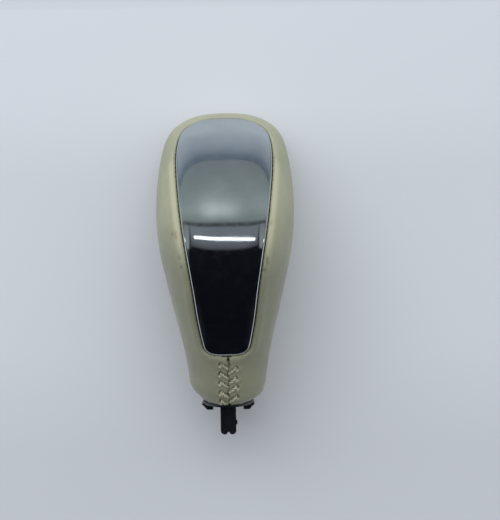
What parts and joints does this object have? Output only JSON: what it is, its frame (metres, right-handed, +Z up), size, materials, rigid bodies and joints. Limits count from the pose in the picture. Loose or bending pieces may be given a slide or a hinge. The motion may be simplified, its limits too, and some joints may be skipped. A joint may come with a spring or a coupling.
{
  "type": "gear shift knob",
  "caption": "Pear-shaped gear shift knob in pale leather with a long bright trim plate, stitched rear seam, front push button and a ribbed release rod under the neck.",
  "frame": {"origin": "centre of the mouth of the lever bore, at the bottom of the neck", "axes": "+Z up along the shift lever, -Y towards the bright trim plate (the driver's side), +Y towards the push button"},
  "size_m": [0.0464, 0.0579, 0.1077],
  "materials": {
    "leather_cover": "fine grain, soft sheen",
    "seam_stitching": "matt thread",
    "chrome_trim": "polished, slightly worn",
    "black_plastic": "satin moulded",
    "core_plastic": "matt moulded",
    "steel": "satin",
    "spring_steel": "satin",
    "rocker_plastic": "natural moulded",
    "stop_rubber": "matt"
  },
  "bodies": {
    "knob": {"leather_cover": "leather_cover", "seam_stitching": "seam_stitching", "chrome_trim": "chrome_trim", "trim_carrier": "core_plastic", "trim_clips": "spring_steel", "core_left": "core_plastic", "core_right": "core_plastic", "core_screws": "steel", "lower_collar": "black_plastic", "lever_sleeve": "steel", "sleeve_pin": "spring_steel", "retaining_clip": "spring_steel", "button_bezel": "black_plastic", "button_pin": "steel", "button_spring": "spring_steel", "rocker_pin": "steel", "rod_spring": "spring_steel", "bump_stops": "stop_rubber"},
    "button": {"button_cap": "black_plastic", "button_arm": "core_plastic"},
    "rocker": {"rocker": "rocker_plastic"},
    "rod": {"push_rod": "black_plastic"}
  },
  "joints": [
    {"name": "button_press", "type": "hinge", "parent": "knob", "child": "button", "pos_m": [0, 0.02426, 0.08449], "axis": [-1, 0, 0], "range_deg": [0, 8], "stiffness_Nm_per_rad": 0.73, "springref_deg": -6.42, "deforming": ["button_spring"]},
    {"name": "rocker_turn", "type": "hinge", "parent": "knob", "child": "rocker", "pos_m": [0, 0.0037, 0.05499], "axis": [1, 0, 0], "range_deg": [0, 13.4]},
    {"name": "rod_travel", "type": "slide", "parent": "knob", "child": "rod", "axis": [0, 0, -1], "range_m": [0, 0.0026], "deforming": ["rod_spring"]}
  ],
  "couplings": [
    {"joint": "rocker_turn", "follows": "button_press", "ratio": 1.66},
    {"joint": "rod_travel", "follows": "button_press", "m_per_rad": 0.0179}
  ]
}
